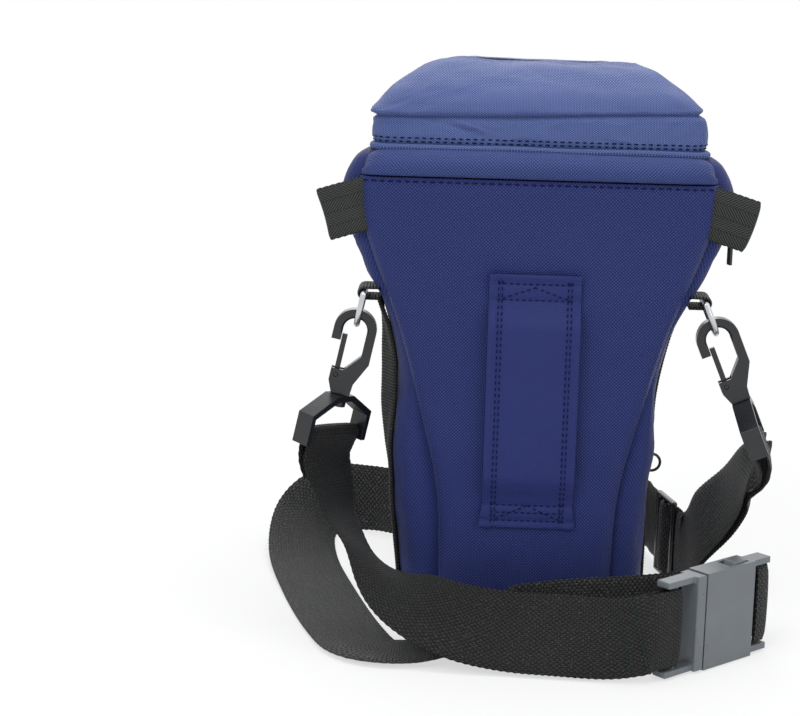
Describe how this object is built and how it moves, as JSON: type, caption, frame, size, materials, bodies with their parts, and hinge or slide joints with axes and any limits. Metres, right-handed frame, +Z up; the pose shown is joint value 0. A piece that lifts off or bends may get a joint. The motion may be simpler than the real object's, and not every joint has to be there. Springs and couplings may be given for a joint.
{
  "type": "camera holster bag",
  "caption": "Tapered padded camera holster bag with hinged lid, lid pocket, belt loop, ring-and-hook anchors and a buckled webbing strap.",
  "frame": {"origin": "middle of the base, on the surface it stands on", "axes": "+Z up, the back panel with the belt loop faces -Y, +X to the right seen from the back panel"},
  "size_m": [0.2553, 0.238, 0.2746],
  "materials": {
    "blue_nylon": "woven nylon, faint sheen",
    "black_webbing": "ribbed webbing",
    "black_plastic": "moulded, satin",
    "steel_wire": "plated wire",
    "grey_lining": "brushed lining",
    "padded_insert": "padded insert",
    "stiff_board": "plain board"
  },
  "bodies": {
    "bag": {"back_panel": "blue_nylon", "body_wrap": "blue_nylon", "base_panel": "blue_nylon", "base_board": "stiff_board", "body_lining": "grey_lining", "camera_cradle": "padded_insert", "belt_loop": "blue_nylon", "side_webbing_left": "black_webbing", "side_webbing_right": "black_webbing", "ring_tab_left": "black_webbing", "ring_tab_right": "black_webbing", "pull_tab_left": "black_webbing", "pull_tab_right": "black_webbing", "body_zip_tape": "black_webbing", "small_tab": "black_webbing", "small_wire_loop": "black_plastic", "swivel_base_left": "black_plastic", "swivel_base_right": "black_plastic", "buckle_male": "black_plastic", "buckle_female": "black_plastic", "strap_front": "black_webbing", "strap_rear": "black_webbing", "strap_adjuster": "black_webbing"},
    "lid": {"lid_shell": "blue_nylon", "lid_lining": "grey_lining", "lid_back_fold": "blue_nylon", "lid_zip_tape": "black_webbing", "lid_pocket": "blue_nylon", "pocket_cord": "blue_nylon", "pocket_zip_tape": "black_webbing"},
    "zip_slider": {"zip_slider": "black_plastic"},
    "zip_pull": {"zip_pull": "black_plastic"},
    "pocket_zip_slider": {"pocket_zip_slider": "black_plastic"},
    "pocket_zip_pull": {"pocket_zip_pull": "black_plastic"},
    "ring_left": {"d_ring_left": "steel_wire"},
    "ring_right": {"d_ring_right": "steel_wire"},
    "hook_left": {"hook_left": "black_plastic"},
    "hook_right": {"hook_right": "black_plastic"},
    "gate_left": {"gate_left": "black_plastic"},
    "gate_right": {"gate_right": "black_plastic"},
    "prong_upper": {"prong_upper": "black_plastic"},
    "prong_lower": {"prong_lower": "black_plastic"},
    "slider": {"strap_slider": "black_plastic", "strap_bridge": "black_webbing"}
  },
  "joints": [
    {"name": "lid_hinge", "type": "hinge", "parent": "bag", "child": "lid", "pos_m": [0, -0.054, 0.2235], "axis": [1, 0, 0], "range_deg": [0, 110]},
    {"name": "zip_slide", "type": "slide", "parent": "bag", "child": "zip_slider", "axis": [-0.2996, 0.9541, 0], "range_m": [0, 0.055]},
    {"name": "zip_pull_swing", "type": "hinge", "parent": "zip_slider", "child": "zip_pull", "pos_m": [0.0935, -0.03409, 0.2103], "axis": [0.2996, -0.9541, 0], "range_deg": [0, 100]},
    {"name": "pocket_zip_slide", "type": "slide", "parent": "lid", "child": "pocket_zip_slider", "axis": [1, 0, 0], "range_m": [0, 0.04]},
    {"name": "pocket_pull_swing", "type": "hinge", "parent": "pocket_zip_slider", "child": "pocket_zip_pull", "pos_m": [-0.02, 0.0577, 0.2684], "axis": [0, -0.9142, 0.4053], "range_deg": [0, 150]},
    {"name": "ring_left_swing", "type": "hinge", "parent": "bag", "child": "ring_left", "pos_m": [-0.08021, -0.0377, 0.167], "axis": [0, 1, 0], "range_deg": [-5, 5]},
    {"name": "ring_right_swing", "type": "hinge", "parent": "bag", "child": "ring_right", "pos_m": [0.08021, -0.0377, 0.167], "axis": [0, 1, 0], "range_deg": [-5, 5]},
    {"name": "hook_left_swivel", "type": "hinge", "parent": "bag", "child": "hook_left", "pos_m": [-0.09093, -0.0377, 0.11658], "axis": [0.2079, 0, 0.9781], "range_deg": [-20, 20]},
    {"name": "hook_right_swivel", "type": "hinge", "parent": "bag", "child": "hook_right", "pos_m": [0.10035, -0.0377, 0.11955], "axis": [-0.3907, 0, 0.9205], "range_deg": [-20, 20]},
    {"name": "gate_left_hinge", "type": "hinge", "parent": "hook_left", "child": "gate_left", "pos_m": [-0.09316, -0.0377, 0.12625], "axis": [0, 1, 0], "range_deg": [0, 20], "stiffness_Nm_per_rad": 0.02, "springref_deg": -17.19},
    {"name": "gate_right_hinge", "type": "hinge", "parent": "hook_right", "child": "gate_right", "pos_m": [0.09297, -0.0377, 0.12619], "axis": [0, 1, 0], "range_deg": [0, 20], "stiffness_Nm_per_rad": 0.02, "springref_deg": -17.19},
    {"name": "prong_upper_squeeze", "type": "hinge", "parent": "bag", "child": "prong_upper", "pos_m": [0.08145, -0.07986, 0.041], "axis": [-0.682, 0.7314, 0], "range_deg": [0, 7], "stiffness_Nm_per_rad": 0.3, "springref_deg": -2.86},
    {"name": "prong_lower_squeeze", "type": "hinge", "parent": "bag", "child": "prong_lower", "pos_m": [0.08145, -0.07986, 0.007], "axis": [0.682, -0.7314, 0], "range_deg": [0, 7], "stiffness_Nm_per_rad": 0.3, "springref_deg": -2.86},
    {"name": "slider_slide", "type": "slide", "parent": "bag", "child": "slider", "axis": [-0.2419, 0.9703, 0], "range_m": [0, 0.03], "deforming": ["strap_rear", "strap_adjuster"]}
  ]
}
